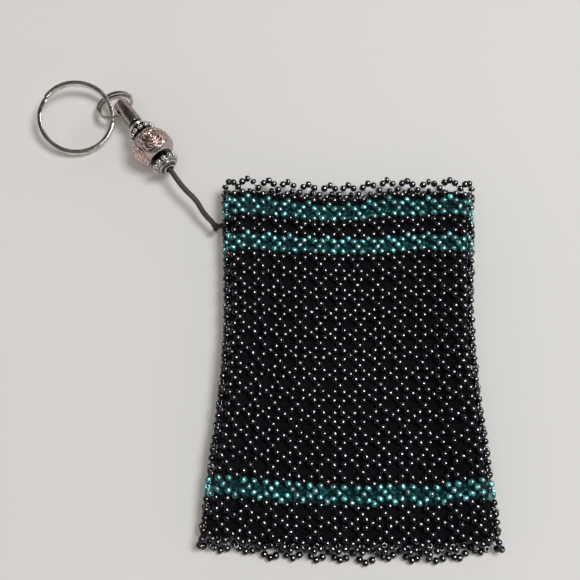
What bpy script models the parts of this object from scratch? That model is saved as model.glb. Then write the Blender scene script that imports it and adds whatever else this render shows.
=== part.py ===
"""Beaded coin purse: a flattened tube of seed-bead netting, hung from a key-ring charm by a lace.

The purse lies on its back. +X runs right across the pouch, +Y towards its open picot edge, +Z up.
The origin is the middle of the pouch's flat underside. All lengths are in metres.
"""
import math

import bmesh
import bpy
from mathutils import Matrix, Vector

# ---- driving dimensions -------------------------------------------------------------------------
GAP = 0.0003                    # clearance left between neighbouring pieces

# Netting: one repeat is a shared bead, an arm bead, a shared bead and an arm bead.
BEAD = 0.0021                   # thickness of one layer of netting
REPEAT = 0.0059                 # height of one repeat
TIP_ROW_Y = 0.0576              # centre line of the picot tip beads
REPEATS = 19.5
POUCH_TOP = TIP_ROW_Y + 0.001
POUCH_BOTTOM = TIP_ROW_Y - REPEATS * REPEAT - 0.001
POUCH_DEPTH = 0.0096            # outside thickness of the flattened tube
LINING = 0.0003                 # thickness of the cloth behind each layer of netting
LINING_STEPS = 18               # straight stretches along each side of the cloth
FOLD_RADIUS = POUCH_DEPTH / 2
INSIDE_RADIUS = FOLD_RADIUS - BEAD
WAIST_Y = 0.009
WAIST_HALF = 0.03825
TOP_HALF = 0.0406
BOTTOM_HALF = 0.0441
PICOTS = 11                     # points along the flat part of the mouth
PICOT_DEPTH = 0.0022
SCALLOPS = 11
SCALLOP_DEPTH = 0.0030
HINGE_Y = -0.0532               # line where the front leaves the bottom seam
SEAM_LENGTH = 0.0024            # length of the seam along Y

# Charm: beads strung on one straight axis, from the pouch's lace up to the key ring.
BALL_CENTRE = Vector((-0.0630, 0.0700, 0.0064))
BALL_RADIUS = 0.0064
BALL_BORE = 0.0024
CHARM_ANGLE = math.radians(-53.5)   # direction of the axis in plan, towards the pouch
CHARM_RISE = math.radians(2.5)      # and its rise towards the pouch
SPACER_RADIUS = 0.0038              # of the circle that the granules stand on
GRANULE = 0.0018
GRANULES = 12
SPACER_THICKNESS = 0.0039
SPACER_BORE = 0.0013
SPACER_RIM = 0.0031
TUBE_RADIUS = 0.0025
TUBE_BORE = 0.0018
TUBE_NECK = 0.0012                  # bore of the end that grips the lace
TUBE_NECK_LENGTH = 0.0035
TUBE_LENGTH = 0.0094
CROSS_HOLE_RADIUS = 0.0016
CROSS_HOLE_FROM_END = 0.0034

SMALL_RING_RADIUS = 0.0057          # middle of its wire
SMALL_WIRE = 0.0009
SMALL_RING_TILT = math.radians(21.7)
SMALL_RING_OFFSET = -0.0015         # of its centre across the tube's axis

SPLIT_RING_RADIUS = 0.01175
SPLIT_WIRE_WIDTH = 0.0015
SPLIT_WIRE_HEIGHT = 0.0011
SPLIT_RING_XY = (-0.0897, 0.0818)
SPLIT_RING_TILT = math.radians(13.2)
SPLIT_RING_UPHILL = math.radians(129)
TURN_GAP = 0.00005                  # between the two turns of a ring

# Lace: from the knot at the pouch's side, through the charm's beads, into the tube.
LACE = 0.0016
KNOT_CENTRE = Vector((-0.0418, 0.0431, 0.0047))
KNOT_RADII = (0.0016, 0.0013, 0.0013)
LACE_FREE_POINTS = (
    (-0.0431, 0.0448, 0.0050),
    (-0.0446, 0.0463, 0.0053),
    (-0.0462, 0.0483, 0.0057),
    (-0.0476, 0.0506, 0.0060),
    (-0.0492, 0.0525, 0.0063),
    (-0.0512, 0.0544, 0.0066),
    (-0.0531, 0.0565, 0.0068),
    (-0.0551, 0.0592, 0.0069),
)
LACE_TOP_FROM_BALL = 0.0128         # where the lace ends inside the tube

BLACK = ((0.02, 0.02, 0.03), 0.25, 0.3)
TEAL = ((0.03, 0.30, 0.28), 0.2, 0.2)
SILVER = ((0.62, 0.60, 0.57), 0.3, 1.0)
STEEL = ((0.68, 0.66, 0.64), 0.2, 1.0)
ROSE = ((0.60, 0.42, 0.36), 0.35, 1.0)
LEATHER = ((0.06, 0.05, 0.045), 0.6, 0.0)
CLOTH = ((0.012, 0.012, 0.02), 0.9, 0.0)


# ---- helpers ------------------------------------------------------------------------------------
def clear_scene():
    for item in list(bpy.data.objects):
        bpy.data.objects.remove(item, do_unlink=True)


def make_material(name, look):
    color, roughness, metallic = look
    material = bpy.data.materials.new(name)
    material.use_nodes = True
    shader = material.node_tree.nodes["Principled BSDF"]
    shader.inputs["Base Color"].default_value = (*color, 1.0)
    shader.inputs["Roughness"].default_value = roughness
    shader.inputs["Metallic"].default_value = metallic
    material.diffuse_color = (*color, 1.0)
    return material


def make_empty(name, place):
    empty = bpy.data.objects.new(name, None)
    bpy.context.collection.objects.link(empty)
    empty.matrix_world = place
    return empty


def make_object(name, bm, look, place=None, parent=None, sharp=30):
    """Turns a bmesh into an object at the matrix place, with its own material."""
    bmesh.ops.recalc_face_normals(bm, faces=bm.faces)
    mesh = bpy.data.meshes.new(name)
    bm.to_mesh(mesh)
    bm.free()
    mesh.shade_smooth()
    mesh.set_sharp_from_angle(angle=math.radians(sharp))
    mesh.materials.append(make_material(name, look))
    obj = bpy.data.objects.new(name, mesh)
    bpy.context.collection.objects.link(obj)
    obj.matrix_world = place or Matrix.Identity(4)
    if parent is not None:
        keep_place_under(obj, parent)
    return obj


def keep_place_under(obj, parent):
    bpy.context.view_layer.update()
    place = obj.matrix_world.copy()
    obj.parent = parent
    obj.matrix_parent_inverse = parent.matrix_world.inverted()
    obj.matrix_world = place


def frame_at(centre, along, across=None):
    """A matrix whose +Z runs along, and whose +X is as near across as it can be."""
    z = Vector(along).normalized()
    x = Vector(across) if across is not None else Vector((0, 0, 1)).cross(z)
    x = (x - x.dot(z) * z).normalized()
    y = z.cross(x)
    turn = Matrix((x, y, z)).transposed().to_4x4()
    return Matrix.Translation(centre) @ turn


def joined_loops(bm, loops, closed):
    """Quads between rings of vertices that follow each other, with flat ends unless closed."""
    count = len(loops)
    for i in range(count if closed else count - 1):
        one, two = loops[i], loops[(i + 1) % count]
        for j in range(len(one)):
            k = (j + 1) % len(one)
            bm.faces.new((one[j], one[k], two[k], two[j]))
    if not closed:
        bm.faces.new(loops[0])
        bm.faces.new(loops[-1])


def prism(outline, low, high):
    """The outline in the XY plane, made solid from height low to height high."""
    bm = bmesh.new()
    bottom = [bm.verts.new((x, y, low)) for x, y in outline]
    top = [bm.verts.new((x, y, high)) for x, y in outline]
    joined_loops(bm, [bottom, top], closed=False)
    return bm


def turned(profile, segments, lobe=None):
    """A closed profile of (radius, height) points spun round Z; lobe(radius, height, angle) adds to it."""
    bm = bmesh.new()
    loops = []
    for i in range(segments):
        angle = 2 * math.pi * i / segments
        loop = []
        for radius, height in profile:
            r = radius + (lobe(radius, height, angle) if lobe else 0.0)
            loop.append(bm.verts.new((r * math.cos(angle), r * math.sin(angle), height)))
        loops.append(loop)
    joined_loops(bm, loops, closed=True)
    return bm


# ---- pouch --------------------------------------------------------------------------------------
def half_width(y):
    """Half the pouch's width: it narrows to a waist above the middle and flares to the bottom."""
    if y > WAIST_Y:
        share = (y - WAIST_Y) / (POUCH_TOP - WAIST_Y)
        return WAIST_HALF + (TOP_HALF - WAIST_HALF) * share ** 1.25
    share = (WAIST_Y - y) / (WAIST_Y - POUCH_BOTTOM)
    return WAIST_HALF + (BOTTOM_HALF - WAIST_HALF) * share ** 1.3


def row_edge(repeat):
    """The line just above the repeat with that number, counted down from the picot edge."""
    return TIP_ROW_Y - repeat * REPEAT + REPEAT / 8


def flat_half(y):
    return half_width(y) - FOLD_RADIUS - GAP / 2


def side_points(low, high, steps):
    """Points up the right edge of the flat part, from low to high."""
    ys = [low + (high - low) * i / steps for i in range(steps + 1)]
    return [(flat_half(y), y) for y in ys]


def picot_edge(y):
    """Points from right to left along the mouth, with one flat-topped point for each picot."""
    half = flat_half(y)
    pitch = 2 * half / PICOTS
    points = []
    for i in range(PICOTS):
        left_foot = half - (i + 1) * pitch
        tip = left_foot + pitch / 2
        points += [(tip + pitch * 0.2, y + PICOT_DEPTH), (tip - pitch * 0.2, y + PICOT_DEPTH)]
        if i < PICOTS - 1:
            points.append((left_foot, y))
    return points


def scallop_edge(y):
    """Points from left to right along the bottom, with one round loop for each scallop."""
    half = flat_half(y)
    pitch = 2 * half / SCALLOPS
    points = []
    for i in range(SCALLOPS):
        centre = -half + (i + 0.5) * pitch
        for angle in (30, 60, 90, 120, 150):
            a = math.radians(180 + angle)
            points.append((centre + pitch / 2 * math.cos(a), y + SCALLOP_DEPTH * math.sin(a)))
        if i < SCALLOPS - 1:
            points.append((centre + pitch / 2, y))
    return points


def band_outline(low, high, steps, with_picots=False, with_scallops=False):
    if with_picots:
        high -= PICOT_DEPTH
    if with_scallops:
        low += SCALLOP_DEPTH
    right = side_points(low, high, steps)
    left = [(-x, y) for x, y in reversed(right)]
    top = picot_edge(high) if with_picots else []
    bottom = scallop_edge(low) if with_scallops else []
    return right + top + left + bottom


BANDS = (
    # name, upper row edge, lower row edge, look
    ("picot_edge", None, 1, BLACK),
    ("teal_band_1", 1, 2, TEAL),
    ("black_band", 2, 3, BLACK),
    ("teal_band_2", 3, 4, TEAL),
    ("black_field", 4, 16, BLACK),
    ("teal_band_3", 16, 17, TEAL),
    ("scalloped_hem", 17, None, BLACK),
)


def make_panel(side, low_z, high_z, parent):
    for name, upper, lower, look in BANDS:
        high = POUCH_TOP if upper is None else row_edge(upper) - GAP / 2
        low = POUCH_BOTTOM if lower is None else row_edge(lower) + GAP / 2
        steps = max(2, round((high - low) / REPEAT))
        outline = band_outline(low, high, steps, upper is None, lower is None)
        make_object(f"{side}_{name}", prism(outline, low_z, high_z), look, parent=parent)


def make_fold(name, side, low, high, look):
    """A gutter with a C section: the netting where it turns from the back to the front."""
    bm = bmesh.new()
    steps = max(3, round((high - low) / (1.5 * REPEAT)))
    arc_steps = 8
    reach = math.radians(88)
    loops = []
    for i in range(steps + 1):
        y = low + (high - low) * i / steps
        centre = half_width(y) - FOLD_RADIUS
        section = []
        for radius, order in ((FOLD_RADIUS, 1), (INSIDE_RADIUS, -1)):
            for k in range(arc_steps + 1):
                angle = order * reach * (2 * k / arc_steps - 1)
                x = side * (centre + radius * math.cos(angle))
                section.append(bm.verts.new((x, y, FOLD_RADIUS + radius * math.sin(angle))))
        loops.append(section)
    joined_loops(bm, loops, closed=False)
    make_object(name, bm, look)


def make_linings(low, hinge):
    """A sheet of cloth behind each layer of netting, from the seam up to the first teal band."""
    outline = band_outline(low, row_edge(1), LINING_STEPS)
    near = BEAD + GAP
    far = near + LINING
    make_object("back_lining", prism(outline, near, far), CLOTH)
    make_object("front_lining", prism(outline, POUCH_DEPTH - far, POUCH_DEPTH - near), CLOTH,
                parent=hinge)


def make_pouch():
    hinge = make_empty("mouth_hinge", Matrix.Translation((0, HINGE_Y, POUCH_DEPTH)))
    make_panel("back", 0.0, BEAD, None)
    make_panel("front", POUCH_DEPTH - BEAD, POUCH_DEPTH, hinge)
    stretches = (
        ("upper", row_edge(4) + GAP / 2, POUCH_TOP - PICOT_DEPTH, BLACK),
        ("middle", row_edge(16) + GAP / 2, row_edge(4) - GAP / 2, BLACK),
        ("lower", POUCH_BOTTOM + SCALLOP_DEPTH, row_edge(16) - GAP / 2, BLACK),
    )
    for label, low, high, look in stretches:
        make_fold(f"left_fold_{label}", -1, low, high, look)
        make_fold(f"right_fold_{label}", 1, low, high, look)
    low, high = HINGE_Y - SEAM_LENGTH / 2, HINGE_Y + SEAM_LENGTH / 2
    half = flat_half(HINGE_Y)
    outline = [(half, low), (half, high), (-half, high), (-half, low)]
    seam = prism(outline, BEAD + GAP, POUCH_DEPTH - BEAD - GAP)
    make_object("bottom_seam", seam, BLACK)
    make_linings(high + GAP, hinge)


# ---- charm --------------------------------------------------------------------------------------
AXIS = Vector((
    math.cos(CHARM_ANGLE) * math.cos(CHARM_RISE),
    math.sin(CHARM_ANGLE) * math.cos(CHARM_RISE),
    math.sin(CHARM_RISE),
))
ACROSS = Vector((-math.sin(CHARM_ANGLE), math.cos(CHARM_ANGLE), 0))

BALL_HALF = math.sqrt(BALL_RADIUS ** 2 - BALL_BORE ** 2)
UPPER_SPACER_AT = -BALL_HALF - GAP - SPACER_THICKNESS / 2
LOWER_SPACER_AT = BALL_HALF + GAP + SPACER_THICKNESS / 2
TUBE_END_AT = UPPER_SPACER_AT - SPACER_THICKNESS / 2 - GAP
CROSS_HOLE_AT = TUBE_END_AT - TUBE_LENGTH + CROSS_HOLE_FROM_END


def on_axis(distance):
    """The point of the charm's axis at that distance from the ball's centre, towards the pouch."""
    return BALL_CENTRE + AXIS * distance


def make_ball(parent):
    """A ball with a straight bore; its carved rose is surface detail."""
    steps = 14
    start = math.asin(BALL_BORE / BALL_RADIUS)
    profile = []
    for i in range(steps + 1):
        angle = start + (math.pi - 2 * start) * i / steps
        profile.append((BALL_RADIUS * math.sin(angle), -BALL_RADIUS * math.cos(angle)))
    place = frame_at(BALL_CENTRE, AXIS)
    make_object("rose_ball", turned(profile, 40), ROSE, place, parent)


def make_spacer(name, at, towards_ball, parent):
    """A turned drum with a ring of granules next to the ball and a rim on its other side."""
    half = SPACER_THICKNESS / 2
    granule_at = -half + GRANULE / 2
    profile = [
        (SPACER_BORE, half),
        (SPACER_BORE, -half),
        (SPACER_RIM * 0.75, -half),
        (SPACER_RADIUS - GRANULE * 0.2, -half),
        (SPACER_RADIUS + GRANULE * 0.30, granule_at - GRANULE * 0.35),
        (SPACER_RADIUS + GRANULE * 0.45, granule_at),
        (SPACER_RADIUS + GRANULE * 0.30, granule_at + GRANULE * 0.35),
        (SPACER_RADIUS - GRANULE * 0.2, -half + GRANULE),
        (SPACER_RIM, -half + GRANULE),
        (SPACER_RIM + 0.0004, half - 0.0012),
        (SPACER_RIM + 0.0004, half - 0.0006),
        (SPACER_RIM - 0.0002, half - 0.0005),
        (SPACER_RIM - 0.0002, half),
    ]

    def lobe(radius, height, angle):
        if radius <= SPACER_RADIUS:
            return 0.0
        swell = abs(math.cos(GRANULES / 2 * angle))
        return -(radius - SPACER_RADIUS) * 1.1 * (1 - swell)

    place = frame_at(on_axis(at), AXIS * towards_ball)
    make_object(name, turned(profile, 4 * GRANULES, lobe), SILVER, place, parent)


def make_tube(parent):
    """A tube bead, drilled across near its top for the small ring, with a neck for the lace."""
    half = TUBE_LENGTH / 2
    lip = 0.00025
    profile = [
        (TUBE_NECK, half),
        (TUBE_NECK, half - TUBE_NECK_LENGTH),
        (TUBE_BORE, half - TUBE_NECK_LENGTH - lip),
        (TUBE_BORE, -half + lip),
        (TUBE_BORE + lip, -half),
        (TUBE_RADIUS - lip, -half),
        (TUBE_RADIUS, -half + lip),
        (TUBE_RADIUS, half - lip),
        (TUBE_RADIUS - lip, half),
    ]
    centre = on_axis(TUBE_END_AT - half)
    tube = make_object("end_tube", turned(profile, 32), SILVER, frame_at(centre, AXIS), parent)
    cutter_bm = bmesh.new()
    bmesh.ops.create_cone(cutter_bm, cap_ends=True, segments=24, radius1=CROSS_HOLE_RADIUS,
                          radius2=CROSS_HOLE_RADIUS, depth=4 * TUBE_RADIUS)
    cutter = make_object("cross_hole_cutter", cutter_bm, SILVER,
                         frame_at(on_axis(CROSS_HOLE_AT), ACROSS, AXIS), parent)
    cutter.hide_render = True
    cutter.display_type = "WIRE"
    cut = tube.modifiers.new("cross_hole", "BOOLEAN")
    cut.operation = "DIFFERENCE"
    cut.object = cutter


def double_turn(section, radius, step, segments):
    """A ring of two turns of wire: one below, a short climb over the wire's start, and one above.

    section holds the wire's (outward, upward) points; step is the height between the two turns.
    """
    bm = bmesh.new()
    climb_from, climb_to, end = 330, 358, 688
    count = round(segments * end / 360)
    loops = []
    for i in range(count + 1):
        degrees = end * i / count
        share = min(1.0, max(0.0, (degrees - climb_from) / (climb_to - climb_from)))
        lift = step * (share * share * (3 - 2 * share) - 0.5)
        angle = math.radians(degrees)
        loop = []
        for out, up in section:
            r = radius + out
            loop.append(bm.verts.new((r * math.cos(angle), r * math.sin(angle), up + lift)))
        loops.append(loop)
    joined_loops(bm, loops, closed=False)
    return bm


def make_small_ring(parent):
    """Its origin is on the cross hole's axis, where the wire passes through the tube."""
    far = Vector((-math.cos(CHARM_ANGLE) * math.cos(SMALL_RING_TILT),
                  -math.sin(CHARM_ANGLE) * math.cos(SMALL_RING_TILT),
                  -math.sin(SMALL_RING_TILT)))
    reach = math.sqrt(SMALL_RING_RADIUS ** 2 - SMALL_RING_OFFSET ** 2)
    pivot = on_axis(CROSS_HOLE_AT)
    # The wire's arc bows inside the tube's walls, so its middle sits on the hole's axis.
    bow = 0.0004
    centre = pivot + far * (reach - bow) + ACROSS * SMALL_RING_OFFSET
    wire = SMALL_WIRE / 2
    section = [(wire * math.cos(math.radians(a)), wire * math.sin(math.radians(a)))
               for a in range(0, 360, 45)]
    bm = double_turn(section, SMALL_RING_RADIUS, SMALL_WIRE + TURN_GAP, 36)
    place = frame_at(centre, ACROSS.cross(far), far)
    bm.transform(Matrix.Translation(-pivot) @ place)
    make_object("small_ring", bm, STEEL, Matrix.Translation(pivot), parent, sharp=50)


def split_ring_place():
    """Tilted, with its lowest edge just on the table."""
    tilt = SPLIT_RING_TILT
    up_x, up_y = math.cos(SPLIT_RING_UPHILL), math.sin(SPLIT_RING_UPHILL)
    normal = Vector((-up_x * math.sin(tilt), -up_y * math.sin(tilt), math.cos(tilt)))
    outer = SPLIT_RING_RADIUS + SPLIT_WIRE_WIDTH / 2
    lowest = outer * math.sin(tilt) + (SPLIT_WIRE_HEIGHT + TURN_GAP / 2) * math.cos(tilt)
    centre = Vector((*SPLIT_RING_XY, lowest + 0.00005))
    return frame_at(centre, normal, (-1, 0, 0))


def make_split_ring(parent):
    """Two flat turns of spring wire with rounded corners."""
    out, up = SPLIT_WIRE_WIDTH / 2, SPLIT_WIRE_HEIGHT / 2
    corner = 0.0003
    section = []
    for sx, sy in ((1, 1), (-1, 1), (-1, -1), (1, -1)):
        near_side = (sx * out, sy * (up - corner))
        near_top = (sx * (out - corner), sy * up)
        section += [near_side, near_top] if sx == sy else [near_top, near_side]
    bm = double_turn(section, SPLIT_RING_RADIUS, SPLIT_WIRE_HEIGHT + TURN_GAP, 44)
    make_object("split_ring", bm, STEEL, split_ring_place(), parent, sharp=50)


def make_knot():
    """The lace's knot, beside the netting at the left fold."""
    bm = bmesh.new()
    bmesh.ops.create_uvsphere(bm, u_segments=14, v_segments=8, radius=1.0)
    bmesh.ops.scale(bm, vec=KNOT_RADII, verts=bm.verts)
    place = frame_at(KNOT_CENTRE, (0, 0, 1), (-1, 1.2, 0))
    return make_object("lace_knot", bm, LEATHER, place)


def smooth_route(points, steps):
    """A Catmull-Rom curve through the points."""
    ends = [points[0] * 2 - points[1], *points, points[-1] * 2 - points[-2]]
    route = [points[0]]
    for i in range(1, len(points)):
        a, b, c, d = ends[i - 1], ends[i], ends[i + 1], ends[i + 2]
        for k in range(1, steps + 1):
            t = k / steps
            route.append(0.5 * (2 * b + (c - a) * t + (2 * a - 5 * b + 4 * c - d) * t * t
                                + (3 * b - a - 3 * c + d) * t ** 3))
    return route


def make_lace(parent):
    """A straight stretch through the beads, and a free stretch that bends down to the knot."""
    exit_at = LOWER_SPACER_AT + SPACER_THICKNESS / 2
    strung = [on_axis(exit_at + 0.0008)]
    count = 8
    for i in range(count + 1):
        strung.append(on_axis(exit_at + (-LACE_TOP_FROM_BALL - exit_at) * i / count))
    route = smooth_route([Vector(p) for p in LACE_FREE_POINTS] + strung, 2)
    curve = bpy.data.curves.new("lace", "CURVE")
    curve.dimensions = "3D"
    curve.bevel_depth = LACE / 2
    curve.bevel_resolution = 2
    curve.use_fill_caps = True
    spline = curve.splines.new("POLY")
    spline.points.add(len(route) - 1)
    for point, place in zip(spline.points, route):
        point.co = (*place, 1.0)
    curve.materials.append(make_material("lace", LEATHER))
    lace = bpy.data.objects.new("lace", curve)
    bpy.context.collection.objects.link(lace)
    keep_place_under(lace, parent)


def make_charm():
    knot = make_knot()
    pivot = make_empty("lace_pivot", Matrix.Translation(KNOT_CENTRE))
    keep_place_under(pivot, knot)
    make_lace(pivot)
    make_tube(pivot)
    make_spacer("upper_spacer", UPPER_SPACER_AT, -1, pivot)
    make_spacer("lower_spacer", LOWER_SPACER_AT, 1, pivot)
    make_ball(pivot)
    make_small_ring(pivot)
    make_split_ring(pivot)


clear_scene()
make_pouch()
make_charm()
bpy.context.view_layer.update()
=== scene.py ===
"""Looks of the beaded coin purse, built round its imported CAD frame.

The purse is a flattened tube of seed-bead netting, with a key-ring charm on a lace. Lengths are in
metres, in the CAD's frame: +X across the pouch, +Y towards its open picot edge, +Z up.
"""

import math

import bmesh
import bpy
import numpy as np
from mathutils import Matrix, Vector


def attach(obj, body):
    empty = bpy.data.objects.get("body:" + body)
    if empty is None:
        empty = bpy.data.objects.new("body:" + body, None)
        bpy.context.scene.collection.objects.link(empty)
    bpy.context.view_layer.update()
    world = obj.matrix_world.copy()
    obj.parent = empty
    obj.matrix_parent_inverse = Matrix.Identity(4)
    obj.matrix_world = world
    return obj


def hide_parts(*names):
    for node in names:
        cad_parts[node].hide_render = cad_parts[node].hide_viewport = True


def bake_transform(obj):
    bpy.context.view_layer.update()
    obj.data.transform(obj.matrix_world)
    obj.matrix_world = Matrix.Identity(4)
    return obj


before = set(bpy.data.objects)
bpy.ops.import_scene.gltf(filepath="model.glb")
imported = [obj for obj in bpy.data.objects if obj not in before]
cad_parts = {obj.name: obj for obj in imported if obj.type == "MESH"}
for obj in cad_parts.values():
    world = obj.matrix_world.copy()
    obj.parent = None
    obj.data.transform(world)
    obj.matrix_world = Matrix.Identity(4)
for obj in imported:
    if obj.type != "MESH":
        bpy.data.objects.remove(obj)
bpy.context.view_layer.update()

# ---- driving dimensions ----
MM = 0.001

# Camera: above the purse, a little towards its hem.
CAMERA_TILT = math.radians(18)
CAMERA_YAW = math.radians(0.8)
CAMERA_DISTANCE = 0.290
CAMERA_LENS = 57.4
CAMERA_TARGET = Vector((-0.0181, 0.0241, 0.0))

# Netting.
BEAD_RADIUS = 0.00104
BEAD_LENGTH = 0.00160
BEAD_HOLE = 0.00036
COLUMNS = 26  # shared beads in a row, round the whole tube
LAST_ROW = 37
ROW_KNOTS = (0, 8, 30, 37)  # rows where the spacing changes
ROW_KNOTS_Y = (0.0572, 0.0341, -0.0357, -0.0563)
COLUMN_SHIFT = 0.00005  # of column 0 from the pouch's middle
PICOT_DROP = 0.0003  # of the picots' tips below the regular spacing
HEM_RISE = 0.0007  # of the hem's last row above it
# How far the rows wander up or down, at places across the pouch, for five heights.
WANDER_X = np.array((-40, -31, -21, -10, 4, 12, 22, 30, 38)) * MM
WANDER_Y = (-0.056, -0.038, 0.039, 0.050, 0.057)
WANDER = np.array((
    (3.2, 2.6, 0.7, 0.7, 0.2, 1.3, 0.3, 1.5, 3.6),
    (2.2, 1.6, 0.7, 0.2, -0.3, 0.8, 0.0, 1.0, 2.0),
    (-1.2, 0.5, 0.8, -0.1, -0.3, 0.5, 2.0, 0.8, -0.4),
    (-0.1, 1.1, 0.9, -0.7, -0.3, 1.9, 1.5, 2.1, 0.5),
    (0.6, 2.1, 2.2, 1.1, 1.3, 2.8, 2.8, 2.6, 1.2),
)) * MM
# The back layer hangs a little lower than the front, so its beads fill the front's openings.
BACK_DROP_TOP = 0.0018
BACK_DROP_BOTTOM = 0.0021
BACK_SHIFT = 0.0012
BACK_SHIFT_RUN = 0.012  # over which the shift fades towards the folds
SEAM_Y = -0.0532
LAYER_GAP = 0.0070  # between the middles of the front and back layers, at the folds
SEAM_LAYER_GAP = 0.0042
SEAM_TAPER = 0.016  # length over which the layers come together
FRONT_SAG = 0.0034  # of the empty pouch's front, inside the folds
SAG_RUN = 0.013  # width over which it sinks from a fold
THREAD_RADIUS = 0.00014
THREAD_SIDES = 5
SEAM_BEADS = 25
SEAM_INSET = 0.0046  # of the seam's ends from the pouch's sides
# How the netting shares in the mouth's opening.
FOLD_MOVES = math.pi / 2 + 0.2  # how far round a fold, from the front, it still moves
EDGE_RISE = 0.35  # share that the front's edges rise
RISE_RUN = 0.024  # width over which the front comes to its full rise
SEAM_STIFF = 0.010  # length above the seam over which it starts

# Lining: a sheet of thin dark cloth inside each layer, from the seam up to the picots; its black is
# painted shade, standing in for the shaded inside of the pouch.
LINING_BOTTOM = -0.0532
LINING_TOP = 0.0536
LINING_TURN = math.radians(84)  # how far it turns up inside a fold
PAINTED_TEAL_EDGE = 0.0008  # over which the painted teal light behind a teal band fades
PAINTED_TEAL_INSET = 0.0005
LINING_DEPTH = 0.00132  # from the middle of the beads to the middle of the cloth
LINING_THICKNESS = 0.00022
LINING_CREASE = 0.00016

# Charm, as in the CAD: beads on one straight axis.
BALL_CENTRE = Vector((-0.0630, 0.0700, 0.0064))
BALL_RADIUS = 0.0064
BALL_BORE = 0.0024
GAP = 0.0003
CHARM_ANGLE = math.radians(-53.5)
CHARM_RISE = math.radians(2.5)
AXIS = Vector((
    math.cos(CHARM_ANGLE) * math.cos(CHARM_RISE),
    math.sin(CHARM_ANGLE) * math.cos(CHARM_RISE),
    math.sin(CHARM_RISE),
))
ACROSS = Vector((-math.sin(CHARM_ANGLE), math.cos(CHARM_ANGLE), 0))
SPACER_THICKNESS = 0.0039
SPACER_RADIUS = 0.0038
SPACER_BORE = 0.0013
SPACER_RIM = 0.0031
GRANULE = 0.0018
GRANULES = 12
TUBE_RADIUS = 0.0025
TUBE_BORE = 0.0018
TUBE_NECK = 0.0012
TUBE_NECK_LENGTH = 0.0035
TUBE_LENGTH = 0.0094
CROSS_HOLE_RADIUS = 0.0016
CROSS_HOLE_FROM_END = 0.0034
SMALL_RING_RADIUS = 0.0057
SMALL_WIRE = 0.0009
SMALL_RING_TILT = math.radians(21.7)
SMALL_RING_OFFSET = -0.0015
SMALL_RING_BOW = 0.0004
SMALL_RING_SPREAD = 0.0005
SPLIT_RING_RADIUS = 0.01175
SPLIT_WIRE_WIDTH = 0.0015
SPLIT_WIRE_HEIGHT = 0.0011
SPLIT_RING_XY = (-0.0892, 0.0814)
SPLIT_RING_TILT = math.radians(13.2)
SPLIT_RING_UPHILL = math.radians(129)
TURN_GAP = 0.00005

# Lace: its route repeats the CAD's.
LACE_WIDTH = 0.0017
LACE_THICKNESS = 0.0011
LACE_SIDES = 20
KNOT_SIDES = 12
KNOT_SIZE = 0.00034
KNOT_HEIGHT = 0.00038
TIE_LOOP_REACH = 0.0022  # half its length and half its width
TIE_LOOP_HALF_WIDTH = 0.0006
TIE_LOOP_FROM_KNOT = 0.0021
TIE_LOOP_LACE = (0.0010, 0.0006)  # the lace's width and thickness, drawn tight in the loop
KNOT_LACE = (LACE_WIDTH / 2, 0.00080)  # and in the knot
KNOT_CENTRE = Vector((-0.0418, 0.0431, 0.0047))
LACE_FREE_POINTS = (
    (-0.0431, 0.0448, 0.0050),
    (-0.0446, 0.0463, 0.0053),
    (-0.0462, 0.0483, 0.0057),
    (-0.0476, 0.0506, 0.0060),
    (-0.0492, 0.0525, 0.0063),
    (-0.0512, 0.0544, 0.0066),
    (-0.0531, 0.0565, 0.0068),
    (-0.0551, 0.0592, 0.0069),
)
LACE_TOP_FROM_BALL = 0.0128
LACE_STRAIGHT_RUN = 0.0008  # of the lace on the axis, below the lower spacer

BALL_HALF = math.sqrt(BALL_RADIUS ** 2 - BALL_BORE ** 2)
UPPER_SPACER_AT = -BALL_HALF - GAP - SPACER_THICKNESS / 2
LOWER_SPACER_AT = BALL_HALF + GAP + SPACER_THICKNESS / 2
TUBE_END_AT = UPPER_SPACER_AT - SPACER_THICKNESS / 2 - GAP
CROSS_HOLE_AT = TUBE_END_AT - TUBE_LENGTH + CROSS_HOLE_FROM_END

random = np.random.default_rng(20)


# ---- helpers ----
def smoothstep(x):
    x = np.clip(x, 0.0, 1.0)
    return x * x * (3 - 2 * x)


def unit(vectors):
    """An array of vectors, each made 1 long."""
    return vectors / np.linalg.norm(vectors, axis=-1, keepdims=True)


def on_axis(distance):
    """The point of the charm's axis at that distance from the ball's centre, towards the pouch."""
    return BALL_CENTRE + AXIS * distance


def frame_at(centre, along, across=None):
    """A matrix whose +Z runs along, and whose +X is as near across as it can be."""
    z = Vector(along).normalized()
    x = Vector(across) if across is not None else Vector((0, 0, 1)).cross(z)
    x = (x - x.dot(z) * z).normalized()
    y = z.cross(x)
    turn = Matrix((x, y, z)).transposed().to_4x4()
    return Matrix.Translation(centre) @ turn


def add_object(name, mesh, material):
    mesh.materials.append(material)
    obj = bpy.data.objects.new(name, mesh)
    bpy.context.scene.collection.objects.link(obj)
    return obj


def assign(obj, node=None, body=None):
    """The CAD node that a piece stands for, and the body that it rides on."""
    if body:
        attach(obj, body)
    if node:
        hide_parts(node)


def mesh_from_arrays(name, points, quads):
    """A smooth mesh from an (n, 3) array of points and an (m, 4) array of point numbers."""
    mesh = bpy.data.meshes.new(name)
    mesh.vertices.add(len(points))
    mesh.vertices.foreach_set("co", np.asarray(points, np.float32).ravel())
    mesh.loops.add(quads.size)
    mesh.loops.foreach_set("vertex_index", np.asarray(quads, np.int32).ravel())
    mesh.polygons.add(len(quads))
    mesh.polygons.foreach_set("loop_start", np.arange(0, quads.size, 4, dtype=np.int32))
    mesh.update(calc_edges=True)
    mesh.validate()
    mesh.shade_smooth()
    return mesh


def store_values(mesh, name, values):
    """One number for each point, which a material's Attribute node reads."""
    attribute = mesh.attributes.get(name) or mesh.attributes.new(name, "FLOAT", "POINT")
    attribute.data.foreach_set("value", np.asarray(values, np.float32))


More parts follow.
